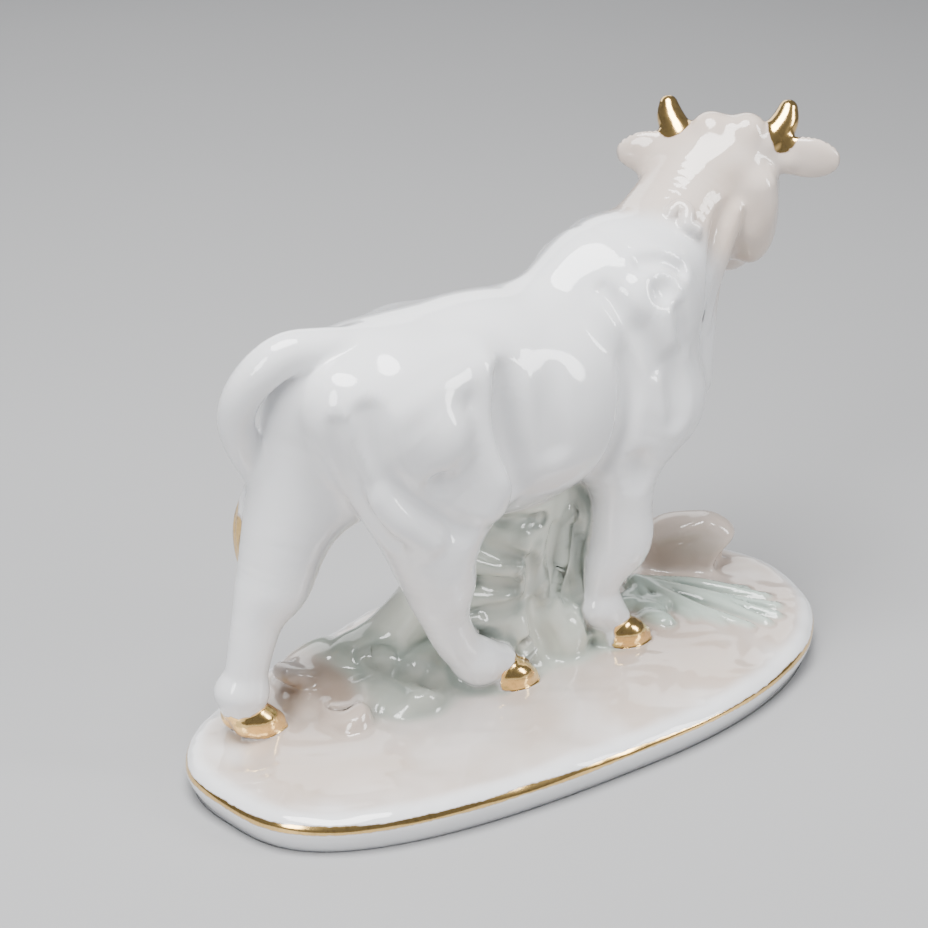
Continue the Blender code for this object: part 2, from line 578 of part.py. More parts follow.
def skin(groups, voxel):
    """One skin over all the forms, at the fineness given."""
    bm = bmesh.new()
    for group in groups:
        group.rough(bm)
    rough_plinth(bm)
    mesh = bpy.data.meshes.new("rough")
    bm.to_mesh(mesh)
    bm.free()
    rough = bpy.data.objects.new("rough", mesh)
    bpy.context.scene.collection.objects.link(rough)
    remesh = rough.modifiers.new("one skin", "REMESH")
    remesh.mode = "VOXEL"
    remesh.voxel_size = voxel
    graph = bpy.context.evaluated_depsgraph_get()
    fused = bpy.data.meshes.new_from_object(rough.evaluated_get(graph))
    bpy.data.objects.remove(rough)
    without_pockets(fused)
    points = np.empty(len(fused.vertices) * 3)
    fused.vertices.foreach_get("co", points)
    points = by_parcels(lambda parcel: settle(parcel, groups, voxel), points.reshape(-1, 3))
    fused.vertices.foreach_set("co", points.ravel())
    return fused


def without_pockets(mesh):
    """Keep the outer skin and drop the closed pockets inside it."""
    bm = bmesh.new()
    bm.from_mesh(mesh)
    start = max(bm.verts, key=lambda vert: vert.co.z)
    outer = {start}
    queue = [start]
    while queue:
        for edge in queue.pop().link_edges:
            for vert in edge.verts:
                if vert not in outer:
                    outer.add(vert)
                    queue.append(vert)
    inner = [vert for vert in bm.verts if vert not in outer]
    bmesh.ops.delete(bm, geom=inner, context="VERTS")
    bm.to_mesh(mesh)
    bm.free()


def thinned(mesh, triangles):
    """The same skin with fewer, longer triangles."""
    dense = bpy.data.objects.new("dense", mesh)
    bpy.context.scene.collection.objects.link(dense)
    fewer = dense.modifiers.new("fewer triangles", "DECIMATE")
    fewer.ratio = triangles / (2 * len(mesh.vertices))
    graph = bpy.context.evaluated_depsgraph_get()
    result = bpy.data.meshes.new_from_object(dense.evaluated_get(graph))
    bpy.data.objects.remove(dense)
    return result


def flat_underside(mesh):
    """Cut the skin off level at the table and close it with one flat face."""
    bm = bmesh.new()
    bm.from_mesh(mesh)
    everything = bm.verts[:] + bm.edges[:] + bm.faces[:]
    bmesh.ops.bisect_plane(bm, geom=everything, dist=1e-7, plane_co=(0, 0, 0), plane_no=(0, 0, 1),
                           clear_inner=True)
    rim = [edge for edge in bm.edges if edge.is_boundary]
    bmesh.ops.holes_fill(bm, edges=rim, sides=0)
    bmesh.ops.triangulate(bm, faces=bm.faces[:])
    bm.to_mesh(mesh)
    bm.free()


def porcelain():
    material = bpy.data.materials.new("white porcelain")
    material.use_nodes = True
    shader = material.node_tree.nodes["Principled BSDF"]
    shader.inputs["Base Color"].default_value = (0.80, 0.80, 0.80, 1.0)
    shader.inputs["Roughness"].default_value = 0.12
    shader.inputs["Metallic"].default_value = 0.0
    return material


def main():
    for old in list(bpy.data.objects):
        bpy.data.objects.remove(old)
    whole = thinned(skin(model(), VOXEL), TRIANGLES)
    flat_underside(whole)
    for face in whole.polygons:
        face.use_smooth = True
    whole.materials.append(porcelain())
    body = bpy.data.objects.new(NODE, whole)
    collection = bpy.data.collections.new(NODE)
    bpy.context.scene.collection.children.link(collection)
    collection.objects.link(body)


if __name__ == "__main__":
    main()
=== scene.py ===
"""Looks of the porcelain bull: the glazed casting, its tints and its gilding.

The casting is built from the same named sizes and clay forms as the solid, on
a finer skin with the small modelling added.  Each point of the skin then
carries how far it lies from the gilding and how much of each tint it has, and
one glaze material reads these.  Metres, +Z up, the bull walks along +X.
"""
import json
import math
from concurrent.futures import ThreadPoolExecutor

import bmesh
import bpy
import numpy as np
from mathutils import Euler, Matrix, Vector

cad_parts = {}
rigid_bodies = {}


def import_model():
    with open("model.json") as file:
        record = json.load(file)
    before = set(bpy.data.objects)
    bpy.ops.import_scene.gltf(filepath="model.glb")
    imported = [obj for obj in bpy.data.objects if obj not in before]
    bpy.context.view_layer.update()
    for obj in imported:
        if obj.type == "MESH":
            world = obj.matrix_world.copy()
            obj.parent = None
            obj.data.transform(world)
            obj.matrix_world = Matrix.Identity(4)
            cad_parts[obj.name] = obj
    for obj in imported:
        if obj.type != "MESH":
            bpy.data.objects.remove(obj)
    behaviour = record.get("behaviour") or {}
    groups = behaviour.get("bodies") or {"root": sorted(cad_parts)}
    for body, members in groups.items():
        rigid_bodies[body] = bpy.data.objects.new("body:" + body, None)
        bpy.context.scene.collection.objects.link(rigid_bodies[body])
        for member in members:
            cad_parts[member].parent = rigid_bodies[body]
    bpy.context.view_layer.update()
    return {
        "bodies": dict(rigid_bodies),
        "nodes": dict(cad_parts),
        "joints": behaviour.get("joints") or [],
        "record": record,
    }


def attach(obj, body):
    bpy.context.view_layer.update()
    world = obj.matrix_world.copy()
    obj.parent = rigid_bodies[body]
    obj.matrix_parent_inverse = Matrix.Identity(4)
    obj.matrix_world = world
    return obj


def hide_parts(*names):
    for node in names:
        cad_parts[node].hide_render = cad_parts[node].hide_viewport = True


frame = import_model()

# Plinth, metres
PLINTH_LENGTH = 0.194
PLINTH_WIDTH = 0.1035
PLINTH_FRONT_SQUARENESS = 2.1
PLINTH_BACK_SQUARENESS = 2.9
PLINTH_EGG = 0.20
RIM_HEIGHT = 0.0072
RIM_TUCK = 0.0031
PLINTH_TOP = 0.0095
TOP_SWELL = 0.0020
WAVE_HEIGHT = 0.0005
RIPPLE_HEIGHT = 0.0001

# Bull, metres and degrees
BULL_HEIGHT = 0.1165
BULL_X = -0.0015
BULL_Y = 0.0024
BULL_TURN = -4.5
HEAD_TURN = 44.0
HEAD_PITCH = 48.0

# Rocks behind the hind legs: chips strewn without order, and the strides that strew them
ROCK_CHIPS = 26
STRIDE_ALONG = 0.618
STRIDE_ACROSS = 0.755

# Upright rolls on the trunk's far side, grass blades, locks of the tail's tuft
BACK_ROLLS = 6
BLADES = 9
TAIL_LOCKS = 5

# Field, metres: reach of a form's influence, value beyond it, size of a neighbourhood;
# then steps between a roll's given points, and how many neighbourhoods are worked at once
HEED = 0.008
FAR = 0.05
PARCEL = 0.040
CURVE_STEPS = 5
THREADS = 4

# Thickness under which a form is slight, parts
SLIGHT = 3.8

# One part: the bull is modelled in 120ths of its height
PART = BULL_HEIGHT / 120.0


def smooth_min(a, b, k):
    """Blend two distances over a fillet of size k."""
    h = np.maximum(k - np.abs(a - b), 0.0)
    return np.minimum(a, b) - h * h / (4.0 * k)


def smooth_max(a, b, k):
    return -smooth_min(-a, -b, k)


class Lump:
    """An ellipsoid of clay; a power above 2 makes it boxier."""

    def __init__(self, centre, radii, turn, blend, power, cut):
        self.radii = np.array(radii, float)
        rotation = Euler([math.radians(t) for t in turn]).to_matrix().to_4x4()
        self.frame = Matrix.Translation(Vector(centre)) @ rotation
        self.blend = blend
        self.power = power
        self.cut = cut

    def placed(self, frame, unit):
        """Move into world metres."""
        place, spin, _ = (frame @ self.frame).decompose()
        self.centre = np.array(place)
        self.spin = np.array(spin.to_matrix())
        self.radii = self.radii * unit
        self.blend = self.blend * unit
        reach = self.radii.max() * 3 ** (0.5 - 1 / self.power)
        self.low = self.centre - reach
        self.high = self.centre + reach

    def distance(self, points):
        local = (points - self.centre) @ self.spin
        share = np.abs(local / self.radii) + 1e-9
        n = self.power
        rho = (share ** n).sum(axis=1) ** (1 / n)
        slope = rho ** (1 - n) * np.linalg.norm(share ** (n - 1) / self.radii, axis=1)
        return (rho - 1) / slope

    def rough(self, bm):
        size = Matrix.Diagonal((*self.radii, 1.0))
        where = Matrix.Translation(Vector(self.centre)) @ Matrix(self.spin).to_4x4() @ size
        bmesh.ops.create_icosphere(bm, subdivisions=3, radius=1.0, matrix=where)


def smooth_curve(points, steps):
    """Points and radii along a smooth curve through the given ones."""
    knots = np.array(points, float)
    knots = np.vstack([2 * knots[0] - knots[1], knots, 2 * knots[-1] - knots[-2]])
    curve = [knots[1]]
    for p0, p1, p2, p3 in zip(knots, knots[1:], knots[2:], knots[3:]):
        for i in range(1, steps + 1):
            t = i / steps
            curve.append(0.5 * (2 * p1 + (p2 - p0) * t + (2 * p0 - 5 * p1 + 4 * p2 - p3) * t ** 2
                                + (3 * p1 - p0 - 3 * p2 + p3) * t ** 3))
    return np.array(curve)


class Limb:
    """A tapered roll of clay along a smooth curve; flat below 1 presses it thin sideways."""

    def __init__(self, points, blend, flat, cut):
        self.curve = smooth_curve(points, CURVE_STEPS)
        self.blend = blend
        self.flat = flat
        self.cut = cut

    def placed(self, frame, unit):
        self.path = np.array([frame @ Vector(p[:3]) for p in self.curve])
        self.thick = self.curve[:, 3] * unit
        self.blend = self.blend * unit
        side = frame.to_3x3() @ Vector((0, 1, 0))
        self.side = np.array(side.normalized())
        self.low = self.path.min(axis=0) - self.thick.max()
        self.high = self.path.max(axis=0) + self.thick.max()

    def distance(self, points):
        axis = np.diff(self.path, axis=0)
        away = points[:, None] - self.path[:-1]
        share = np.einsum("nsk,sk->ns", away, axis) / (axis ** 2).sum(axis=1)
        share = np.clip(share, 0.0, 1.0)
        away -= share[..., None] * axis
        if self.flat != 1.0:
            across = away @ self.side
            away += across[..., None] * ((1.0 / self.flat - 1.0) * self.side)
        rolls = np.linalg.norm(away, axis=2) - (self.thick[:-1] + share * np.diff(self.thick))
        return rolls.min(axis=1) * min(1.0, self.flat)

    def rough(self, bm):
        path = self.path[::CURVE_STEPS]
        thick = self.thick[::CURVE_STEPS]
        for a, b, ra, rb in zip(path, path[1:], thick, thick[1:]):
            bmesh.ops.create_icosphere(bm, subdivisions=2, radius=ra,
                                       matrix=Matrix.Translation(Vector(a)))
            axis = Vector(b - a)
            turn = axis.to_track_quat("Z", "Y").to_matrix().to_4x4()
            where = Matrix.Translation(Vector((a + b) / 2)) @ turn
            bmesh.ops.create_cone(bm, cap_ends=True, segments=12, radius1=ra, radius2=rb,
                                  depth=axis.length, matrix=where)
        bmesh.ops.create_icosphere(bm, subdivisions=2, radius=thick[-1],
                                   matrix=Matrix.Translation(Vector(path[-1])))


class Clay:
    """A group of forms drawn in one frame, blended in the order they were added.

    Shallow forms, if slight, only shape the settled skin and are left out of the rough one.
    """

    def __init__(self, frame, unit):
        self.frame = frame
        self.unit = unit
        self.forms = []
        self.shallow = False

    def add(self, form):
        form.placed(self.frame, self.unit)
        form.shallow = self.shallow and (form.high - form.low).min() < 2 * SLIGHT * self.unit
        self.forms.append(form)

    def lump(self, centre, radii, turn=(0, 0, 0), blend=6.0, power=2.0, cut=False):
        self.add(Lump(centre, radii, turn, blend, power, cut))

    def pair(self, centre, radii, turn=(0, 0, 0), blend=6.0, power=2.0, cut=False):
        """The same lump on the right and on the left."""
        x, y, z = centre
        roll, pitch, yaw = turn
        self.lump((x, y, z), radii, (roll, pitch, yaw), blend, power, cut)
        self.lump((x, -y, z), radii, (-roll, pitch, -yaw), blend, power, cut)

    def limb(self, points, blend=4.0, flat=1.0, cut=False):
        """A roll through (x, y, z, radius) points."""
        self.add(Limb(points, blend, flat, cut))

    def field(self, points):
        d = np.full(len(points), FAR)
        low = points.min(axis=0)
        high = points.max(axis=0)
        for form in self.forms:
            margin = form.blend + HEED
            if (form.low - margin > high).any() or (form.high + margin < low).any():
                continue
            near = ((points > form.low - margin) & (points < form.high + margin)).all(axis=1)
            if not near.any():
                continue
            own = form.distance(points[near])
            if form.cut:
                d[near] = smooth_max(d[near], -own, form.blend)
            else:
                d[near] = smooth_min(d[near], own, form.blend)
        return d

    def rough(self, bm):
        for form in self.forms:
            if not form.cut and not form.shallow:
                form.rough(bm)


def bull_frame():
    ground = PLINTH_TOP + 0.3 * TOP_SWELL
    turn = Matrix.Rotation(math.radians(BULL_TURN), 4, "Z")
    size = Matrix.Diagonal((PART, PART, PART, 1.0))
    return Matrix.Translation((BULL_X, BULL_Y, ground)) @ turn @ size


def trunk(clay):
    clay.lump((0, 0, 76), (40, 24, 29.5), blend=8)
    clay.lump((-26, 0, 88), (30, 18, 18), blend=14)
    clay.lump((-44, 0, 89), (21, 18, 16), blend=12)
    clay.pair((-25, -15, 96), (8, 5, 6), blend=8)
    clay.pair((-59, -8, 93), (5.5, 6, 8), blend=7)
    clay.lump((38, 0, 78), (22, 18.5, 27), blend=12)
    clay.lump((31, 0, 98), (20, 9.5, 17), (0, -8, 0), blend=14)
    clay.pair((33, -14, 85), (9.5, 9, 26), (0, 16, 0), blend=6)
    clay.pair((44, -12.5, 68), (12.5, 9, 13), blend=7)
    clay.lump((47, 0, 70), (13, 12, 15), blend=9)
    clay.limb([(70, 1.5, 101, 5.5), (66.4, 0.4, 89, 7), (62.2, -1.4, 77, 8.2), (60.2, -3, 69, 8.4)],
               blend=7, flat=0.85)


def muscles(clay):
    """Ridges and hollows that show through the hide."""
    clay.shallow = True
    right_haunch(clay)
    left_haunch(clay)
    for s in (-1, 1):
        barrel(clay, s)
        shoulder(clay, s)
    clay.lump((34.9, -22.5, 105), (2.9, 2.9, 3.4), blend=3.5, cut=True)
    clay.limb([(39.6, -24.2, 98, 2), (41.2, -24.4, 93, 2.7), (42.8, -23.8, 88, 2.2)],
               blend=3.5, cut=True)
    clay.limb([(36.4, -25.7, 85, 2.8), (37.8, -26.3, 77.6, 3.3), (38, -27, 70, 3)], blend=4, cut=True)
    clay.shallow = False


def right_haunch(clay):
    clay.limb([(-48.5, -18.4, 90.6, 3.5), (-42, -19.4, 92.4, 4), (-33, -19, 94.4, 4),
               (-24, -18.2, 95.8, 3.6)], blend=3)
    clay.limb([(-23.6, -18.4, 96, 3.6), (-24.6, -19.6, 92, 4), (-25.9, -20.4, 86, 4.2),
               (-26.3, -21.4, 79.5, 4.8), (-24, -22.2, 72.5, 5.4), (-22.4, -22.6, 67.5, 5.8),
               (-23.4, -22, 62, 5)], blend=3.5)
    clay.limb([(-17.6, -23.4, 94, 3.5), (-17.2, -24.2, 85.4, 4.8), (-16, -24.6, 77, 5.4),
               (-14, -24.8, 70, 5.4), (-13, -24, 63, 4)], blend=4, cut=True)
    clay.lump((-38, -22, 83), (7, 6, 8), blend=5)
    clay.lump((-39.2, -24.4, 71.2), (2.6, 2.6, 3), blend=3.5, cut=True)
    clay.limb([(-58, -20.6, 93, 3.4), (-57, -21.6, 85, 3.6), (-54.2, -22.4, 77, 3.2),
               (-47.3, -22.6, 68.4, 3.2), (-42, -22.6, 63, 3.4), (-36.5, -23.3, 58.6, 3.2),
               (-31.3, -24.4, 56, 2.5)], blend=3.5, cut=True)
    clay.limb([(-53, -15.4, 69, 4), (-47.6, -17.8, 62.4, 4.5), (-40.3, -19.2, 55.8, 4)], blend=3.5)
    clay.limb([(-64.6, -15.6, 90, 2), (-64, -15.5, 84, 2.4), (-61, -14.6, 76, 2.8),
               (-56, -14.2, 64.6, 2.8), (-50, -17, 55.5, 2.2)], blend=3, cut=True)


def left_haunch(clay):
    clay.limb([(-48.5, 18, 90, 3.5), (-40, 19, 92.4, 4), (-30, 18.6, 94.6, 3.8)], blend=4)
    clay.limb([(-29, 18, 95, 3.6), (-32, 19, 86, 4.4), (-38, 18, 76, 5.4), (-46, 16.5, 66, 6)], blend=5)
    clay.limb([(-20, 24.4, 93, 3.6), (-23.5, 25, 83, 4.4), (-29, 24, 73, 4.6), (-36, 22, 64, 4)],
               blend=5, cut=True)
    clay.lump((-46, 17, 80), (8, 6, 10), (0, 20, 0), blend=5)


def barrel(clay, s):
    clay.lump((7, s * 12.5, 76), (16, 10.5, 18), blend=8)
    clay.limb([(-4, s * 26.5, 92, 3), (-5, s * 27, 82, 3.5), (-3.5, s * 26.5, 72, 3)],
               blend=5, cut=True)
    clay.limb([(23, s * 21.4, 96, 1.8), (23.2, s * 22.2, 87, 2.6), (23, s * 22.6, 79, 2.8),
               (22, s * 22.6, 71, 2.8), (20.6, s * 21, 63, 2.6), (17.5, s * 18, 55, 2.6)],
               blend=3, cut=True)


def shoulder(clay, s):
    clay.lump((21, s * 12, 95.5), (5, 5.5, 8), (0, 15, 0), blend=5)
    clay.limb([(20.6, s * 15, 106, 1.6), (23.1, s * 18.8, 101.6, 2.4), (25.9, s * 22, 97, 2.9),
               (28.4, s * 24, 91.5, 2.9), (31.4, s * 24.9, 85, 2.4)], blend=3, cut=True)
    clay.lump((29, s * 16.4, 101), (4, 4, 6), (0, 15, 0), blend=3)
    clay.limb([(32, s * 16.4, 111.5, 1.8), (38, s * 18.4, 111, 2.1), (42.5, s * 19.5, 108, 1.8)],
               blend=3, cut=True)
    clay.lump((27.5, s * 22.6, 55.5), (3, 3, 5), blend=4, cut=True)


def neck(clay):
    clay.limb([(37, 0, 95, 21.5), (50, 1, 102, 17), (61, 3.5, 110, 14.8), (70, 6, 118, 13.2)], blend=10)
    clay.limb([(50.4, -6.6, 118.3, 1.9), (52.8, -7, 119.5, 2.2), (53.4, -9.2, 118.3, 2.2),
               (52, -10.8, 116, 2.1), (54, -12, 114.4, 2)], blend=1.6)


def throat(clay):
    """Loose skin in long folds from the jaw down the front of the neck."""
    clay.limb([(70.1, -8.8, 114.5, 2.4), (67.8, -9, 109, 2.9), (65.5, -9.1, 103.8, 3.1),
               (64.1, -8.3, 97.9, 2.9), (64, -6.2, 90.9, 2.7), (63, -5.6, 83.5, 2.4)], blend=2)
    clay.limb([(70.5, -10.6, 119.5, 1.6), (67.2, -10.8, 116.6, 2), (63.4, -12, 112.5, 2.2),
               (60.4, -13.6, 107, 2.2), (58.6, -14.8, 101, 2.1), (57.8, -14.6, 95, 1.9),
               (57, -14, 88, 1.6)], blend=2.5, cut=True)
    clay.limb([(73.2, -11.2, 114.5, 1.8), (73.4, -9.6, 109.5, 2), (72, -8, 103.5, 1.8)],
               blend=2.5, cut=True)
    clay.limb([(72.4, -9.2, 128, 2.2), (71.9, -10.2, 123.5, 2.5), (72.6, -10.2, 119.5, 1.8)],
               blend=3, cut=True)
    clay.limb([(78.8, -10, 120, 3), (79.6, -9.8, 113.5, 3.2), (77.5, -8.6, 108.5, 2.8)], blend=2.5)
    clay.lump((80.8, -5.2, 105.5), (5.5, 5.5, 8), blend=4)


def hind_leg(clay, side, hip, path, hoof):
    """Thigh, buttock, then the lower leg along its path of (x, y, z, radius)."""
    pin = (-56, side * 9, 90)
    calf = path[2]
    clay.limb([(*hip, 17), path[0]], blend=8)
    clay.limb([(*pin, 7.8), ((pin[0] + calf[0]) / 2 - 1, calf[1], (pin[2] + calf[2]) / 2, 9.5),
               (*calf[:3], 7)], blend=9)
    clay.limb(path, blend=8, flat=0.9)
    hoof_block(clay, path[-1], hoof)


def fore_leg(clay, path, hoof):
    clay.limb(path, blend=8, flat=0.95)
    hoof_block(clay, path[-1], hoof)


def hoof_block(clay, fetlock, hoof):
    x, y, k = hoof
    fx, fy, fz, _ = fetlock
    clay.lump((fx - 4, fy, fz + 1), (3.4, 4.6, 3.4), blend=3)
    clay.limb([fetlock, (x - 2.5, y, 8, 4.9)], blend=3)
    for side in (-1, 1):
        clay.limb([(x - 2 * k, y + side * 2.4 * k, 4.6 * k, 4.2 * k),
                   (x + k, y + side * 2.8 * k, 3.8 * k, 4.6 * k),
                   (x + 4.5 * k, y + side * 2.4 * k, 1.8, 3.8 * k)], blend=0.8)


def tail(clay):
    clay.limb([(-46, 0, 101, 6), (-56, 1, 103, 5.8), (-65, 3, 103.8, 5.5), (-71.3, 5, 100.4, 5.3),
               (-75.2, 8, 94, 4.9), (-75.4, 11, 86.5, 4.7), (-72.3, 13, 78.5, 4.6), (-68, 14, 71, 4.4)],
               blend=2)
    clay.lump((-66.2, 17.4, 49), (4.4, 4.4, 15), (0, 6, 0), blend=2)
    for i in range(TAIL_LOCKS):
        turn = 1.9 + 0.62 * i
        x, y = 3.9 * math.cos(turn), 3.9 * math.sin(turn)
        clay.limb([(-67.6 + 0.4 * x, 16 + 0.4 * y, 64, 1.4), (-67 + x, 17.4 + y, 54, 1.5),
                   (-66.4 + x, 17.4 + y, 44, 1.4), (-65 + 0.4 * x, 17.2 + 0.4 * y, 34, 0.9)], blend=0.7)


def head(clay):
    clay.lump((9, 0, -9), (12, 12.5, 12), blend=8)
    clay.lump((13, 0, -6), (13, 11, 8), blend=5)
    clay.lump((28, 0, -9), (18, 8, 8.5), blend=8)
    clay.pair((16, -9.5, -5), (6, 3.5, 3.5), blend=4)
    clay.lump((42.5, 0, -11), (7.5, 8.5, 8), blend=6, power=2.3)
    clay.lump((40, 0, -18), (6, 5.5, 4), blend=4)
    clay.pair((17, -8, -16), (12, 6, 9), blend=6)
    clay.limb([(14, 0, -21, 8), (26, 0, -19, 7), (38, 0, -17, 6)], blend=6)
    clay.pair((1, -5, -3.5), (5.5, 5, 5), blend=4)
    clay.pair((20, -12, -4.4), (3.6, 2.4, 2.8), blend=1.5, cut=True)
    clay.pair((19.8, -10.7, -4.7), (2.7, 2.3, 2.2), blend=0.4)
    clay.pair((48.6, -4.4, -9.4), (2.4, 1.7, 2.1), (0, 20, -20), blend=1, cut=True)
    for side in (-1, 1):
        clay.limb([(16.2, side * 12, -4, 1.1), (19, side * 11.8, -2.1, 1.2),
                   (22.6, side * 10.2, -3.2, 1.0)], blend=1.2)
        clay.limb([(49.5, side * 1, -15.4, 0.9), (47, side * 6.4, -15.4, 1.1),
                   (41, side * 8.6, -15, 1.1), (34, side * 8.4, -14.4, 0.9)], blend=0.8, cut=True)
        lean = 0.8 - 0.6 * side
        clay.limb([(4, side * 9.5, -5.5, 4.4), (3.5, side * (13.5 - lean), -3, 4.2),
                   (2.5, side * (16 - lean), 1, 3.7), (1, side * (16.8 - lean), 4.2, 2.6)], blend=2)
        clay.limb([(7, side * 12, -8, 3), (7, side * 16, -8, 3)], blend=3)
        clay.lump((6, side * 21, -7.5), (2.4, 9, 5.6), (side * -6, -HEAD_PITCH, 0), blend=2)
        clay.lump((8.5, side * 22, -5.4), (1.5, 6, 3.2), (side * -6, -HEAD_PITCH, 0), blend=1.5, cut=True)


def stump(clay):
    """Trunk, its spreading roots, and the rolls of bark on the side that is looked at."""
    clay.limb([(0, 7, -2, 20), (-1, 7, 13, 17.5), (0, 7, 28, 17), (2, 6, 50, 18)], blend=5)
    clay.limb([(-14, 6, 46, 8), (-19, 5, 33, 6.5), (-21, 9, 20, 7.5), (-28, 15, 8, 8)], blend=5)
    for x, y in ((16, -3), (18, 8), (6, 21), (-12, 22)):
        clay.limb([(x * 0.6, y * 0.6 + 2, 14, 5), (x, y, 5, 5), (x * 1.3, y * 1.3, -1, 4)], blend=4)
    clay.limb([(16, 1, 50, 9.5), (16, 1, 34, 9), (17, 1, 20, 9), (18, 0, 4, 9)], blend=4)
    clay.limb([(9, -4.5, 27, 3.6), (9, -4.8, 20, 4), (8, -5, 12, 4)], blend=2.5)
    clay.limb([(25, -4, 46, 4.5), (23.5, -6, 34, 4), (23, -7, 22, 3.8), (24, -9, 10, 3.6),
               (27, -11, 0, 3)], blend=3)
    bark(clay)


def bark(clay):
    """Rolls and creases of the bark: lying ones on the left, upright ones to the right."""
    clay.shallow = True
    for path in ([(-19, -4, 37.5, 3), (-12, -5.4, 35, 3.4), (-8, -6.6, 33, 3.4), (-4, -8, 33.5, 2.8)],
                 [(-19, -4, 26, 3), (-11, -5, 25.4, 3.2), (-6.5, -6.6, 24.6, 3), (-3.6, -7.5, 24.3, 2.6)],
                 [(-18, -5, 19.6, 2.6), (-10, -6, 18.4, 3), (-3.3, -8, 17.7, 2.6)],
                 [(-0.8, -9.4, 44.3, 2.4), (-2.2, -9.6, 37, 2.6), (-1.8, -9.8, 30.2, 2.6),
                  (-2.6, -9.8, 22.3, 2.2)],
                 [(3, -9.6, 36.8, 2.2), (5, -9.2, 29.1, 2.6), (5.4, -9.2, 21.6, 3)],
                 [(15.5, -8, 42, 2.6), (14, -8.8, 34, 2.6), (12.2, -9, 26, 2.6), (9, -8.6, 18, 2.4)],
                 [(18.8, -8, 34, 1.9), (17.4, -8.6, 27, 2.1), (19.5, -9.2, 17, 2.4)],
                 [(-2.6, -9.4, 15.2, 2.8), (-1.2, -10.8, 7.8, 3.2)]):
        clay.limb(path, blend=2)
    clay.lump((20.8, -6.4, 40), (3.6, 3.4, 5), (0, 10, 0), blend=2)
    clay.lump((9, -8.4, 14), (4, 4, 5), (0, 20, 0), blend=2.5)
    clay.lump((14, -7.5, 6), (8, 7, 10), blend=3)
    for path in ([(-18, -9, 42, 1.8), (-10.5, -9.2, 38.8, 2.4), (-4.1, -11.2, 36, 2)],
                 [(-19, -9, 31.5, 1.8), (-10.4, -8.8, 28.9, 2.4), (-4.7, -10.2, 27, 1.9)],
                 [(-11.5, -9.2, 21.4, 1.7), (-7, -10.2, 21.2, 2), (-3.8, -11, 22.3, 1.8)],
                 [(-8, -8.8, 47, 1.8), (-3.7, -11.6, 46, 2), (3.8, -11, 44.9, 1.8)],
                 [(-0.2, -11.6, 34.3, 1.5), (0.6, -11.6, 28.1, 2), (-0.6, -11.6, 22.6, 1.6)],
                 [(9.8, -10.2, 40, 1.7), (8.4, -11, 32.5, 2.0), (9, -11.6, 25, 1.7), (6.6, -12.4, 20, 1.2)],
                 [(2.7, -11, 20.6, 2), (2.9, -12.4, 13.4, 2.8), (6, -13, 6.5, 2.8),
                  (7.7, -14.6, 1.2, 2.2)],
                 [(-1.8, -12, 10.5, 1.8), (1.4, -14, 4.1, 2)],
                 [(17.2, -10, 38, 1.5), (15.8, -11, 29, 1.8), (14.5, -11, 19.5, 1.6)],
                 [(22, -11, 32, 2), (21.4, -11.4, 20, 2.5), (21, -12.6, 9, 2.2)]):
        clay.limb(path, blend=2, cut=True)
    for i in range(BACK_ROLLS):
        turn = math.radians(20 + 28 * i)
        x, y = math.cos(turn), math.sin(turn)
        sway = 1.5 * math.sin(2.3 * i)
        clay.limb([(16 * x, 7 + 16 * y, 46, 3), (16 * x + sway, 7 + 16 * y, 30, 2.6),
                   (16.5 * x - sway, 7 + 16.5 * y, 15, 3), (19 * x, 7 + 19 * y, -1, 3.6)], blend=2.5)
    clay.shallow = False


def ground_rocks(clay):
    clay.lump((78.5, 13, 5), (13, 6.5, 11.3), (0, -8, -45), blend=4, power=2.6)
    clay.lump((84, 8, 8.5), (6.5, 5.5, 6.8), (0, 20, -45), blend=3, power=2.6)
    clay.limb([(70, 15, 9, 2.4), (75, 10, 12.5, 2.4), (80, 7.5, 14, 2.2)], blend=2)
    clay.lump((90, -1, 0.5), (10, 7.5, 9), (0, 0, -45), blend=3, cut=True)
    clay.lump((72, 1.5, 15), (13, 4, 7), (18, -24, -45), blend=2.5, cut=True)
    clay.lump((-44, 20, 1), (14, 12, 8.6), (0, 0, 20), blend=4, power=2.6)
    clay.lump((-33, 14, 4), (12, 10, 8.5), (0, 15, 0), blend=4, power=2.6)
    clay.lump((-42, 4, 0), (15, 9, 6.6), (0, 0, -12), blend=4, power=2.6)
    clay.lump((-30, -2, 1), (13, 8, 5.6), (0, -8, 10), blend=4, power=2.6)
    clay.lump((-19, -3, 1), (9, 7, 5.2), blend=4, power=2.6)
    clay.lump((-54, 12, 0), (8, 9, 4.2), blend=3, power=2.5)
    for i in range(ROCK_CHIPS):
        along = (i * STRIDE_ALONG) % 1.0
        across = (i * STRIDE_ACROSS) % 1.0
        x = -56 + 42 * along
        y = 17 - 24 * across - 6 * along
        rise = 7.5 - 6 * across
        clay.lump((x, y, rise), (6.2, 4.6, 2.6), (24 * math.sin(3 * i), 20 * math.cos(5 * i), 50 * i),
                  blend=2.6, power=3)
    for x, y, z in ((-47, 11, 9), (-38, 6, 9), (-33, -4, 8), (-44, -3, 7), (-26, -9, 7), (-52, 4, 6)):
        clay.lump((x, y, z + 1.6), (7, 4.6, 3), (0, 20, 9 * x), blend=3.5, cut=True)


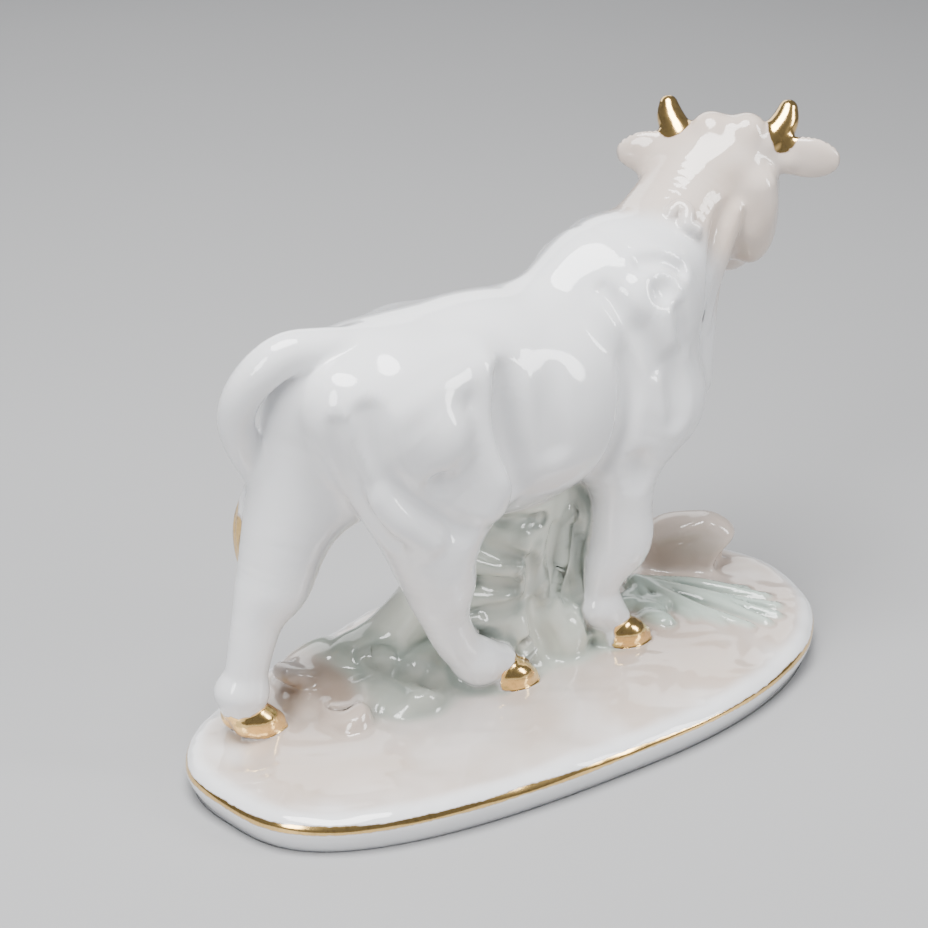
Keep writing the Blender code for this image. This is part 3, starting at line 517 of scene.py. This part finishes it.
def leaves(clay):
    """A tuft of long blades fanned over the ground, and round leaves at its foot."""
    for i in range(BLADES):
        turn = math.radians(-36 - 7.5 * i)
        length = 41 - 1.1 * (i - 3) ** 2
        bend = 2.5 * math.sin(i * 2.1)
        x, y = math.cos(turn), math.sin(turn)
        clay.limb([(55, 8, 3, 2.2),
                   (55 + 0.5 * length * x - bend * y, 8 + 0.5 * length * y + bend * x, 2.2, 1.9),
                   (55 + length * x, 8 + length * y, 0.4, 0.9)], blend=0.8)
    for x, y, turn in ((49, -4, -60), (47, -10, -75), (53, -3, -50), (46, 1, -20), (50, 4, 20)):
        clay.lump((x, y, 2), (4.8, 2.8, 2), (0, 0, turn), blend=0.8)


def squareness(x):
    """Power of the plinth's rounded outline, ahead of and behind its middle."""
    return np.where(x > 0, PLINTH_FRONT_SQUARENESS, PLINTH_BACK_SQUARENESS)


def plinth_outline(x, y):
    """Distance outside the plinth's widest line, and how far out along it a point lies."""
    a = PLINTH_LENGTH / 2
    b = PLINTH_WIDTH / 2 * (1 + PLINTH_EGG * np.clip(x / a, -1, 1))
    n = squareness(x)
    u = np.abs(x / a) + 1e-6
    v = np.abs(y / b) + 1e-6
    rho = (u ** n + v ** n) ** (1 / n)
    slope = rho ** (1 - n) * np.hypot(u ** (n - 1) / a, v ** (n - 1) / b)
    return (rho - 1) / slope, rho


def plinth_field(points):
    x, y, z = points.T
    outline, rho = plinth_outline(x, y)
    below = np.clip((RIM_HEIGHT - z) / RIM_HEIGHT, 0, 1.4)
    side = outline + RIM_TUCK * below ** 1.5
    top = PLINTH_TOP + TOP_SWELL * (1 - np.minimum(rho, 1) ** 2)
    top = top + WAVE_HEIGHT * np.sin(x * 210) * np.cos(y * 170 + 1)
    top = top + RIPPLE_HEIGHT * np.sin(x * 620 + 2 * np.sin(y * 260)) * np.cos(y * 480 + 1)
    return smooth_max(side, z - top, 0.006)


def rough_plinth(bm):
    made = bmesh.ops.create_cone(bm, cap_ends=True, segments=96, radius1=1, radius2=1,
                                 depth=PLINTH_TOP + 0.004)
    for vert in made["verts"]:
        c, s = vert.co.x, vert.co.y
        n = float(squareness(c))
        r = (abs(c) ** n + abs(s) ** n) ** (-1 / n)
        vert.co.x = c * r * PLINTH_LENGTH / 2
        vert.co.y = s * r * PLINTH_WIDTH / 2 * (1 + PLINTH_EGG * c * r)
        vert.co.z += (PLINTH_TOP - 0.004) / 2


def model():
    frame = bull_frame()
    bull = Clay(frame, PART)
    trunk(bull)
    neck(bull)
    hind_leg(bull, -1, (-41, -8, 86),
             [(-24, -13, 65, 10.5), (-31, -12.5, 50, 10.2), (-30.5, -11.5, 38, 8), (-29, -11.5, 28, 6.6),
              (-24, -11, 17.5, 5.8), (-17, -11, 10, 5.8)], (-8, -11, 1.0))
    hind_leg(bull, 1, (-46, 7, 84),
             [(-47, 9, 66, 11), (-59.4, 8.8, 56, 10.3), (-67, 9, 41.5, 8.5), (-71, 9.2, 35, 7.2),
              (-73.2, 9.4, 29, 6.5), (-75.8, 9.6, 19, 5.7), (-76.8, 10.2, 12, 6)], (-75, 10.5, 1.05))
    fore_leg(bull, [(37, -13, 70, 12), (31, -13, 55, 9.6), (30.3, -12.5, 43, 8.4), (30.5, -12, 32, 8.8),
                    (26.5, -11.5, 24.5, 6.2), (25.2, -11, 18, 4.9), (26, -11, 12, 5)], (31.5, -11.5, 1.0))
    fore_leg(bull, [(36, 13, 70, 12), (29, 13, 55, 9.6), (27.5, 12, 43, 8.4), (27, 11.5, 32, 8.4),
                    (23, 11, 23, 6), (22.3, 10.5, 16, 4.9), (23.5, 10, 11, 5)], (28.5, 10, 1.0))
    tail(bull)
    muscles(bull)
    throat(bull)
    turn = Euler((0, math.radians(HEAD_PITCH), math.radians(HEAD_TURN))).to_matrix().to_4x4()
    skull = Clay(frame @ Matrix.Translation((79.5, 3.2, 136)) @ turn, PART)
    head(skull)
    rocks = Clay(frame, PART)
    stump(rocks)
    ground_rocks(rocks)
    leaves(rocks)
    return bull, skull, rocks


def field(points, groups):
    bull, skull, rocks = groups
    animal = smooth_min(bull.field(points), skull.field(points), 6 * PART)
    ground = smooth_min(plinth_field(points), rocks.field(points), 0.003)
    return smooth_min(animal, ground, 0.001)


def by_parcels(function, points):
    """Apply a function to points a neighbourhood at a time, so that far-off forms are passed over."""
    cells = np.floor(points / PARCEL).astype(int)
    names = cells @ np.array([1, 1000, 1000000])
    order = np.argsort(names, kind="stable")
    parcels = np.split(order, np.nonzero(np.diff(names[order]))[0] + 1)
    with ThreadPoolExecutor(THREADS) as pool:
        done = list(pool.map(lambda parcel: function(points[parcel]), parcels))
    result = np.empty((len(points),) + done[0].shape[1:])
    result[np.concatenate(parcels)] = np.concatenate(done)
    return result


def settle(points, groups, voxel):
    """Move the rough skin's points onto the blended shape, down to just below the table."""
    h = voxel * 0.3
    low = points[:, 2] < -0.002
    for _ in range(5):
        d = field(points, groups)
        slope = np.empty_like(points)
        for axis in range(3):
            shift = np.zeros(3)
            shift[axis] = h
            slope[:, axis] = field(points + shift, groups) - d
        slope /= np.linalg.norm(slope, axis=1)[:, None] + 1e-12
        step = np.clip(d, -voxel, voxel)
        step[low] = 0.0
        points = points - step[:, None] * slope
    return points


def skin(groups, voxel):
    """One skin over all the forms, at the fineness given."""
    bm = bmesh.new()
    for group in groups:
        group.rough(bm)
    rough_plinth(bm)
    mesh = bpy.data.meshes.new("rough")
    bm.to_mesh(mesh)
    bm.free()
    rough = bpy.data.objects.new("rough", mesh)
    bpy.context.scene.collection.objects.link(rough)
    remesh = rough.modifiers.new("one skin", "REMESH")
    remesh.mode = "VOXEL"
    remesh.voxel_size = voxel
    graph = bpy.context.evaluated_depsgraph_get()
    fused = bpy.data.meshes.new_from_object(rough.evaluated_get(graph))
    bpy.data.objects.remove(rough)
    without_pockets(fused)
    points = np.empty(len(fused.vertices) * 3)
    fused.vertices.foreach_get("co", points)
    points = by_parcels(lambda parcel: settle(parcel, groups, voxel), points.reshape(-1, 3))
    fused.vertices.foreach_set("co", points.ravel())
    return fused


def without_pockets(mesh):
    """Keep the outer skin and drop the closed pockets inside it."""
    bm = bmesh.new()
    bm.from_mesh(mesh)
    start = max(bm.verts, key=lambda vert: vert.co.z)
    outer = {start}
    queue = [start]
    while queue:
        for edge in queue.pop().link_edges:
            for vert in edge.verts:
                if vert not in outer:
                    outer.add(vert)
                    queue.append(vert)
    inner = [vert for vert in bm.verts if vert not in outer]
    bmesh.ops.delete(bm, geom=inner, context="VERTS")
    bm.to_mesh(mesh)
    bm.free()


# Fineness of the skin, and step over which its slope is read, metres
FINE = 0.00105
SLOPE_STEP = 0.0003

# Hooves, in the bull's own parts: place, and how far behind it the gilding begins
HOOVES = ((-8, -11, 5.5), (-75, 10.5, 12), (31.5, -11.5, 5.5), (28.5, 10, 5.5))
HOOF_REACH = 14
HOOF_CROWN = 10
CORONET = 9.2
CORONET_SLOPE = 0.25

# Painted places as centre and radii: eyes and muzzle in the skull's parts, the brown patch
# and the gilded tuft in the bull's
EYE = ((20, 12, 4.7), (2.9, 2.6, 2.4))
NOSE = ((50.5, 0, -12), (6.5, 8.5, 6))
BROWN_PATCH = ((-50.5, 9, 5), (6, 12, 7))
GILT_TUFT = ((-67, 18, 49), (6.6, 6.6, 17))

# Distance off the surface at which hollows are told from bumps, for the painted shade laid into them,
# metres
HOLLOW_SHADE_REACH = 0.0025

# Tints of the glaze, linear colours
WHITE = (0.83, 0.835, 0.85)
FLESH = (0.63, 0.52, 0.44)
EARTH = (0.56, 0.46, 0.39)
STONE = (0.66, 0.56, 0.49)
BARK = (0.60, 0.65, 0.57)
MOSS = (0.36, 0.42, 0.36)
UMBER = (0.36, 0.27, 0.21)
FROND = (0.52, 0.62, 0.55)
# SHADE is painted shade, laid into the hollows and creases of the green
SHADE = (0.24, 0.29, 0.26)
PUPIL = (0.030, 0.018, 0.014)
MUZZLE = (0.50, 0.27, 0.24)
GOLD = (1.0, 0.66, 0.24)
SCORCH = (0.20, 0.09, 0.08)

# Each tint: name, colour, then its strength where the clouds are thin and where they are thick
TINTS = (("flesh", FLESH, 0.75, 1.0), ("ears", STONE, 0.5, 0.9), ("muzzle", MUZZLE, 0.5, 0.8),
         ("eyes", PUPIL, 1.0, 1.0), ("earth", EARTH, 0.6, 1.0), ("stone", STONE, 0.7, 1.0),
         ("bark", BARK, 0.75, 1.0), ("moss", MOSS, 0.6, 1.0), ("umber", UMBER, 0.4, 0.95),
         ("frond", FROND, 0.7, 1.0))

# Patterns in the glaze, as noise scales: clouds of tint, grain of the gold, ragged brush edge, ripple
CLOUDS = 35.0
GRAIN = 900.0
RAGGED = 520.0
RIPPLE = 160.0

# Gilt line round the rim, metres
LINE_HEIGHT = 0.0069
LINE_HALF = 0.00070

# Camera, read off the photograph: metres, degrees, millimetres
CAMERA_AZIMUTH = -42.78
CAMERA_ELEVATION = 24.0
CAMERA_DISTANCE = 0.6624
CAMERA_AIM = (-0.0069, 0.0116, 0.0650)
LENS = 100.86

# Softboxes: name, place and size in metres, power in watts
SOFTBOXES = (("overhead softbox", (-0.15, -0.05, 0.85), (0.60, 0.50), 16.0),
             ("left softbox", (-0.75, -0.20, 0.55), (0.30, 0.55), 6.0),
             ("right softbox", (0.55, -0.70, 0.50), (0.25, 0.60), 5.5),
             ("back softbox", (0.35, 0.75, 0.45), (1.20, 0.50), 3.0))
LIT_POINT = (0, 0, 0.07)
FLOOR_RADIUS = 6.0
FLOOR_DARK = (0.34, 0.34, 0.345)
FLOOR_LIGHT = (0.38, 0.38, 0.385)
ROOM = (0.80, 0.84, 0.90, 1)
ROOM_STRENGTH = 0.20


def shares(d, low, high):
    """0 below low, 1 above high, smooth between."""
    t = np.clip((d - low) / (high - low), 0, 1)
    return t * t * (3 - 2 * t)


def gilding(points, bull, skull, animal):
    """Distance from the gilding on horns, hooves and the tip of the tail."""
    horns = Clay(skull.frame, PART)
    for side in (-1, 1):
        horns.limb([(3.5, side * 13.5, -3, 5.4), (2.5, side * 15.6, 1, 5.2), (1, side * 16.2, 6, 5)],
                   blend=0.5)
    tuft = Clay(bull.frame, PART)
    tuft.lump(*GILT_TUFT, (0, 6, 0), blend=0.5)
    gilt = np.minimum(horns.field(points), tuft.field(points))
    local = inside(bull, points)
    for x, y, behind in HOOVES:
        near = np.linalg.norm(local - (x, y, 3), axis=1) - HOOF_REACH
        edge = local[:, 2] - CORONET - CORONET_SLOPE * (local[:, 0] - x)
        edge = edge + 0.4 * np.sin(local[:, 1] * 1.3 + x) + 0.25 * np.sin(local[:, 1] * 3.1)
        ground = 0.7 - local[:, 2]
        crown = local[:, 2] - HOOF_CROWN
        heel = x - behind - local[:, 0]
        hoof = np.maximum(np.maximum(near, edge), np.maximum(ground, np.maximum(crown, heel)))
        gilt = np.minimum(gilt, hoof * PART)
    return np.maximum(gilt, animal - 0.0004)


def within(place, points):
    """How far out each point lies in a painted place: 0 at its centre, 1 at its edge."""
    centre, radii = place
    return np.linalg.norm((points - centre) / radii, axis=1)


def inside(clay, points):
    """The points in the clay's own frame and parts."""
    back = np.array(clay.frame.inverted())
    return points @ back[:3, :3].T + back[:3, 3]


def rim_line(points):
    """Distance from the brushed line round the plinth."""
    x, y, z = points.T
    outline = plinth_outline(x, y)[0]
    angle = np.arctan2(y / PLINTH_WIDTH, x / PLINTH_LENGTH)
    height = LINE_HEIGHT + 0.00018 * np.sin(3 * angle + 1) + 0.0001 * np.sin(11 * angle)
    half = LINE_HALF * (1 + 0.25 * np.sin(2 * angle + 0.5) + 0.15 * np.sin(7 * angle + 2))
    return np.maximum(np.abs(z - height) - half, -0.004 - outline)


def paint(mesh, points, normals, groups):
    """Store the tints and the gilding on the mesh's points."""
    bull, skull = groups[:2]
    animal = by_parcels(lambda near: smooth_min(bull.field(near), skull.field(near), 6 * PART), points)
    gilt = np.minimum(gilding(points, bull, skull, animal), rim_line(points)) * 1000
    distances = []
    for forms in (stump, ground_rocks, leaves):
        alone = Clay(bull.frame, PART)
        forms(alone)
        distances.append(by_parcels(alone.field, points))
    d_wood, d_stone, d_green = distances
    other = np.minimum(np.minimum(d_wood, d_stone), np.minimum(d_green, plinth_field(points)))
    hide = 1 - shares(animal - other, -0.0006, 0.0006)
    bare = 1 - hide
    local = inside(bull, points)
    x, y, z = local.T
    nape = 0.689 * x + 0.487 * np.minimum(y, 10 - y) + 0.534 * z
    outline = plinth_outline(points[:, 0], points[:, 1])[0]
    top = shares(points[:, 2], 0.0086, 0.0100) * shares(-outline, 0.002, 0.007)
    near_stone = 1 - shares(d_stone, 0.0003, 0.0035)
    # Painted shade: how deep each point lies in a hollow, found by lifting it off the surface
    lifted = by_parcels(lambda near: field(near, groups), points + HOLLOW_SHADE_REACH * normals)
    hollow_shade = 1 - np.clip(lifted / HOLLOW_SHADE_REACH, 0, 1)
    of_skull = inside(skull, points)
    ear = shares(np.abs(of_skull[:, 1]), 12, 17) * (1 - shares(np.linalg.norm(of_skull, axis=1), 30, 36))
    tints = {"flesh": hide * shares(nape, 87, 97),
             "earth": bare * top,
             "stone": bare * near_stone * shares(x, 50, 60),
             "bark": bare * (1 - shares(d_wood, 0.0005, 0.0045)),
             "moss": bare * near_stone * shares(x, -52, -42) * (1 - shares(x, -14, -6)),
             "umber": bare * near_stone * (1 - shares(within(BROWN_PATCH, local), 0.5, 1.2)),
             "frond": bare * (1 - shares(d_green, 0.0, 0.002)),
             "ears": hide * ear,
             "eyes": hide * (1 - shares(within(EYE, np.abs(of_skull)), 0.7, 1.1)),
             "muzzle": hide * (1 - shares(within(NOSE, of_skull), 0.5, 1.1)),
             "gilt": gilt,
             "hollow_shade": hollow_shade}
    for name, values in tints.items():
        mesh.attributes.new(name, "FLOAT", "POINT").data.foreach_set("value", values.astype(np.float32))


class Graph:
    """Short ways to place and join shader nodes."""

    def __init__(self, name):
        self.material = bpy.data.materials.new(name)
        self.material.use_nodes = True
        self.tree = self.material.node_tree
        self.shader = self.tree.nodes["Principled BSDF"]

    def node(self, kind, **settings):
        made = self.tree.nodes.new(kind)
        for key, value in settings.items():
            setattr(made, key, value)
        return made

    def join(self, source, socket):
        if isinstance(source, (int, float, tuple)):
            socket.default_value = source
        else:
            self.tree.links.new(source, socket)

    def math(self, operation, *values):
        made = self.node("ShaderNodeMath", operation=operation)
        for value, socket in zip(values, made.inputs):
            self.join(value, socket)
        return made.outputs[0]

    def ramp(self, value, low, high, out_low=0.0, out_high=1.0):
        made = self.node("ShaderNodeMapRange", interpolation_type="SMOOTHSTEP")
        for source, socket in zip((value, low, high, out_low, out_high), made.inputs):
            self.join(source, socket)
        return made.outputs[0]

    def mix(self, share, first, second):
        made = self.node("ShaderNodeMix", data_type="RGBA")
        self.join(share, made.inputs["Factor"])
        self.join((*first, 1.0) if isinstance(first, tuple) else first, made.inputs[6])
        self.join((*second, 1.0) if isinstance(second, tuple) else second, made.inputs[7])
        return made.outputs[2]

    def noise(self, scale, detail=3.0, distortion=0.0):
        made = self.node("ShaderNodeTexNoise")
        place = self.node("ShaderNodeTexCoord")
        self.tree.links.new(place.outputs["Object"], made.inputs["Vector"])
        made.inputs["Scale"].default_value = scale
        made.inputs["Detail"].default_value = detail
        made.inputs["Distortion"].default_value = distortion
        return made.outputs["Fac"]

    def stored(self, name):
        return self.node("ShaderNodeAttribute", attribute_name=name).outputs["Fac"]


def glaze():
    """White glaze with its tints, painted shade in the hollows of the green, and the brushed gilding."""
    g = Graph("glazed porcelain")
    clouds = g.noise(CLOUDS, 2.0, 0.4)
    grain = g.noise(GRAIN, 2.0)
    ragged = g.noise(RAGGED, 3.0)
    colour = g.mix(g.ramp(clouds, 0.35, 0.7), WHITE, tuple(c * 0.985 for c in WHITE))
    for name, tint, low, high in TINTS:
        varied = g.ramp(clouds, 0.3, 0.7, low, high)
        colour = g.mix(g.math("MULTIPLY", g.stored(name), varied), colour, tint)
    # Painted shade: the green darkens towards SHADE in its hollows and creases
    hollow_shade = g.ramp(g.stored("hollow_shade"), 0.1, 0.7, 0.0, 0.7)
    green = g.math("MAXIMUM", g.stored("bark"), g.math("MAXIMUM", g.stored("moss"), g.stored("frond")))
    colour = g.mix(g.math("MULTIPLY", hollow_shade, green), colour, SHADE)
    edge = g.math("ADD", g.stored("gilt"), g.math("MULTIPLY", g.math("SUBTRACT", ragged, 0.5), 0.6))
    scorched = g.math("SUBTRACT", g.ramp(edge, 0.30, 0.06), g.ramp(edge, 0.06, -0.04))
    colour = g.mix(g.math("MULTIPLY", scorched, 0.5), colour, SCORCH)
    gilt = g.ramp(edge, 0.06, -0.04)
    worn = g.mix(g.ramp(grain, 0.45, 0.75), GOLD, tuple(c * 0.8 for c in GOLD))
    colour = g.mix(gilt, colour, worn)
    g.join(colour, g.shader.inputs["Base Color"])
    g.join(gilt, g.shader.inputs["Metallic"])
    g.join(g.ramp(gilt, 0.0, 1.0, 0.10, 0.17), g.shader.inputs["Roughness"])
    g.shader.inputs["IOR"].default_value = 1.52
    g.shader.inputs["Coat Weight"].default_value = 0.6
    g.shader.inputs["Coat Roughness"].default_value = 0.02
    g.shader.inputs["Subsurface Weight"].default_value = 0.12
    g.shader.inputs["Subsurface Radius"].default_value = (1.0, 0.85, 0.7)
    g.shader.inputs["Subsurface Scale"].default_value = 0.0015
    bump = g.node("ShaderNodeBump")
    bump.inputs["Strength"].default_value = 0.12
    bump.inputs["Distance"].default_value = 0.0004
    g.join(g.noise(RIPPLE, 2.0), bump.inputs["Height"])
    g.join(bump.outputs["Normal"], g.shader.inputs["Normal"])
    return g.material


def slopes(points, groups, h):
    """Direction in which the field grows at each point."""
    slope = np.empty_like(points)
    for axis in range(3):
        shift = np.zeros(3)
        shift[axis] = h
        slope[:, axis] = field(points + shift, groups) - field(points - shift, groups)
    return slope / (np.linalg.norm(slope, axis=1)[:, None] + 1e-12)


def casting():
    """The whole figurine as one fine skin, painted, in the place of the solid."""
    groups = model()
    mesh = skin(groups, FINE)
    flat_underside(mesh)
    count = len(mesh.vertices)
    points = np.empty(count * 3)
    mesh.vertices.foreach_get("co", points)
    points = points.reshape(-1, 3)
    normals = by_parcels(lambda near: slopes(near, groups, SLOPE_STEP), points)
    under = points[:, 2] < 1e-5
    normals[under] = (0, 0, -1)
    paint(mesh, points, normals, groups)
    mesh.shade_smooth()
    mesh.normals_split_custom_set_from_vertices(normals.tolist())
    mesh.materials.append(glaze())
    piece = bpy.data.objects.new("porcelain_bull", mesh)
    bpy.context.scene.collection.objects.link(piece)
    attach(piece, "root")
    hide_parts("bull_figurine")


def flat_underside(mesh):
    """Cut the skin off level at the table and close it with one flat face."""
    bm = bmesh.new()
    bm.from_mesh(mesh)
    everything = bm.verts[:] + bm.edges[:] + bm.faces[:]
    bmesh.ops.bisect_plane(bm, geom=everything, dist=1e-7, plane_co=(0, 0, 0), plane_no=(0, 0, 1),
                           clear_inner=True)
    rim = [edge for edge in bm.edges if edge.is_boundary]
    bmesh.ops.holes_fill(bm, edges=rim, sides=0)
    wide = [face for face in bm.faces if len(face.verts) > 4]
    bmesh.ops.triangulate(bm, faces=wide)
    bm.to_mesh(mesh)
    bm.free()


def softbox(name, place, size, power):
    """An oval lamp turned to the figurine."""
    data = bpy.data.lights.new(name, "AREA")
    data.shape = "ELLIPSE"
    data.size = size[0]
    data.size_y = size[1]
    data.energy = power
    light = bpy.data.objects.new(name, data)
    light.location = place
    light.rotation_euler = (Vector(LIT_POINT) - Vector(place)).to_track_quat("-Z", "Y").to_euler()
    bpy.context.scene.collection.objects.link(light)


def studio():
    """Pale floor, even room light and the softboxes."""
    bm = bmesh.new()
    bmesh.ops.create_circle(bm, cap_ends=True, segments=96, radius=FLOOR_RADIUS)
    mesh = bpy.data.meshes.new("floor")
    bm.to_mesh(mesh)
    bm.free()
    floor = bpy.data.objects.new("floor", mesh)
    bpy.context.scene.collection.objects.link(floor)
    g = Graph("pale floor")
    g.join(g.mix(g.noise(3.0), FLOOR_DARK, FLOOR_LIGHT), g.shader.inputs["Base Color"])
    g.shader.inputs["Roughness"].default_value = 0.55
    mesh.materials.append(g.material)
    world = bpy.data.worlds.new("studio")
    world.use_nodes = True
    background = world.node_tree.nodes["Background"]
    background.inputs["Color"].default_value = ROOM
    background.inputs["Strength"].default_value = ROOM_STRENGTH
    bpy.context.scene.world = world
    for lamp in SOFTBOXES:
        softbox(*lamp)


def camera():
    """The photograph's point of view."""
    a = math.radians(CAMERA_AZIMUTH)
    e = math.radians(CAMERA_ELEVATION)
    back = Vector((math.sin(a) * math.cos(e), -math.cos(a) * math.cos(e), math.sin(e)))
    data = bpy.data.cameras.new("camera")
    data.lens = LENS
    data.sensor_width = 36.0
    data.clip_start = 0.01
    view = bpy.data.objects.new("camera", data)
    view.location = Vector(CAMERA_AIM) + CAMERA_DISTANCE * back
    view.rotation_euler = back.to_track_quat("Z", "Y").to_euler()
    bpy.context.scene.collection.objects.link(view)
    bpy.context.scene.camera = view


casting()
studio()
camera()
